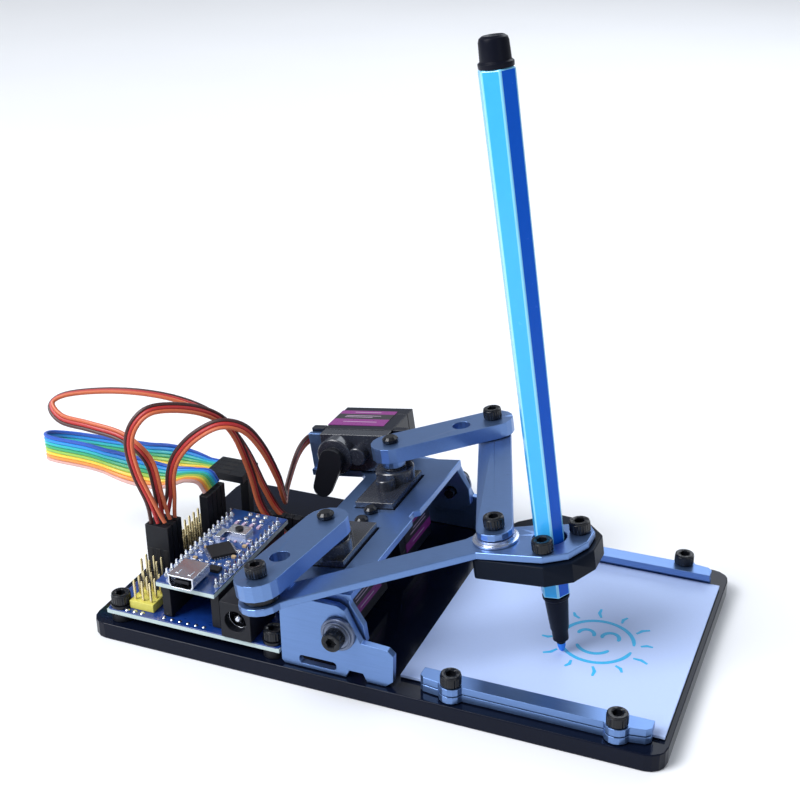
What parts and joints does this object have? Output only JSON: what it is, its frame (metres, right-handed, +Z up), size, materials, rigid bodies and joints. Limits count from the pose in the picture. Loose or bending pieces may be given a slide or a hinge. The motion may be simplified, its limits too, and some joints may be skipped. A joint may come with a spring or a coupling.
{
  "type": "desktop robot arm",
  "caption": "Desktop drawing robot: a five-bar arm on a tilting frame moves a hexagonal pen over a card held on a flat base, beside its control boards.",
  "frame": {"origin": "centre of the base plate's underside", "axes": "+X along the base towards the card, +Y away from the side with the sockets, +Z up"},
  "size_m": [0.207, 0.1099, 0.1653],
  "materials": {
    "acrylic": "gloss",
    "aluminium": "satin",
    "steel": "satin",
    "black_steel": "satin",
    "blue_board": "gloss",
    "black_plastic": "matte",
    "servo_case": "matte",
    "yellow_plastic": "matte",
    "red_lead": "matte",
    "ribbon": "matte",
    "pen_blue": "gloss",
    "pen_black": "matte",
    "white_card": "matte"
  },
  "bodies": {
    "base": {"base_plate": "acrylic", "side_plate_near": "aluminium", "side_plate_far": "aluminium", "pivot_bearing_near": "steel", "pivot_bearing_far": "steel", "pivot_screw_near": "black_steel", "pivot_screw_far": "black_steel", "card_rail_near_lower": "aluminium", "card_rail_near_upper": "aluminium", "card_rail_far_lower": "aluminium", "card_rail_far_upper": "aluminium", "rail_screw_1": "black_steel", "rail_screw_2": "black_steel", "rail_screw_3": "black_steel", "rail_screw_4": "black_steel", "shield_board": "blue_board", "shield_screw_1": "black_steel", "shield_screw_2": "black_steel", "shield_screw_3": "black_steel", "shield_screw_4": "black_steel", "header_left": "black_plastic", "header_right": "black_plastic", "controller_board": "blue_board", "usb_socket": "steel", "dc_jack": "black_plastic", "voltage_header": "yellow_plastic", "servo_header": "black_plastic", "servo_plug_1": "black_plastic", "servo_plug_2": "black_plastic", "servo_plug_3": "black_plastic", "ribbon_plug_near": "black_plastic", "ribbon_plug_far": "black_plastic", "servo_lead_near": "red_lead", "servo_lead_far": "red_lead", "servo_lead_lift": "red_lead", "ribbon_cable": "ribbon"},
    "tilt": {"tilt_frame": "aluminium", "servo_near": "servo_case", "servo_far": "servo_case", "servo_lift": "servo_case", "ear_screw_1": "black_steel", "ear_screw_2": "black_steel"},
    "crank_near": {"crank_near": "aluminium", "crank_near_axle_screw": "steel"},
    "elbow_near": {"elbow_screw_near": "black_steel"},
    "coupler_near": {"long_link": "aluminium", "pen_block": "black_plastic", "pen_block_screw_1": "black_steel", "pen_block_screw_2": "black_steel", "pen_barrel": "pen_blue", "pen_nose": "pen_black", "pen_end_cap": "pen_black"},
    "crank_far": {"crank_far": "aluminium", "crank_far_axle_screw": "steel"},
    "elbow_far": {"elbow_screw_far": "black_steel"},
    "coupler_far": {"short_link": "aluminium", "wrist_screw": "black_steel"},
    "lift_horn": {"lift_horn": "black_plastic"},
    "card": {"drawing_card": "white_card"}
  },
  "joints": [
    {"name": "tilt_hinge", "type": "hinge", "parent": "base", "child": "tilt", "pos_m": [-0.0042, 0, 0.0186], "axis": [0, -1, 0], "range_deg": [0, 6]},
    {"name": "crank_near_turn", "type": "hinge", "parent": "tilt", "child": "crank_near", "pos_m": [-0.01657, -0.022, 0.03403], "axis": [-0.1392, 0, 0.9903], "range_deg": [-3, 15]},
    {"name": "elbow_near_a", "type": "hinge", "parent": "crank_near", "child": "elbow_near", "pos_m": [-0.02054, -0.05375, 0.03347], "axis": [-0.1392, 0, 0.9903], "range_deg": [-11.7, 2.6]},
    {"name": "elbow_near_b", "type": "hinge", "parent": "elbow_near", "child": "coupler_near", "pos_m": [-0.02054, -0.05375, 0.03347], "axis": [-0.1392, 0, 0.9903], "range_deg": [-8, 1.8]},
    {"name": "crank_far_turn", "type": "hinge", "parent": "tilt", "child": "crank_far", "pos_m": [-0.01683, 0.023, 0.03591], "axis": [-0.1392, 0, 0.9903], "range_deg": [-15, 3]},
    {"name": "elbow_far_a", "type": "hinge", "parent": "crank_far", "child": "elbow_far", "pos_m": [0.00827, 0.04253, 0.03944], "axis": [-0.1392, 0, 0.9903], "range_deg": [-3.3, 15.3]},
    {"name": "elbow_far_b", "type": "hinge", "parent": "elbow_far", "child": "coupler_far", "pos_m": [0.00827, 0.04253, 0.03944], "axis": [-0.1392, 0, 0.9903], "range_deg": [-1.5, 6.1]},
    {"name": "lift_horn_turn", "type": "hinge", "parent": "tilt", "child": "lift_horn", "pos_m": [-0.03728, 0.024, 0.03051], "axis": [0, 1, 0], "range_deg": [0, 34]},
    {"name": "card_slide", "type": "slide", "parent": "base", "child": "card", "axis": [1, 0, 0], "range_m": [0, 0.07]}
  ],
  "couplings": [
    {"joint": "elbow_near_a", "follows": "crank_near_turn", "ratio": -0.7616},
    {"joint": "elbow_near_b", "follows": "crank_far_turn", "ratio": 0.5152},
    {"joint": "elbow_far_a", "follows": "crank_far_turn", "ratio": -0.9972},
    {"joint": "elbow_far_b", "follows": "crank_near_turn", "ratio": 0.3882},
    {"joint": "lift_horn_turn", "follows": "tilt_hinge", "ratio": 5.6}
  ]
}
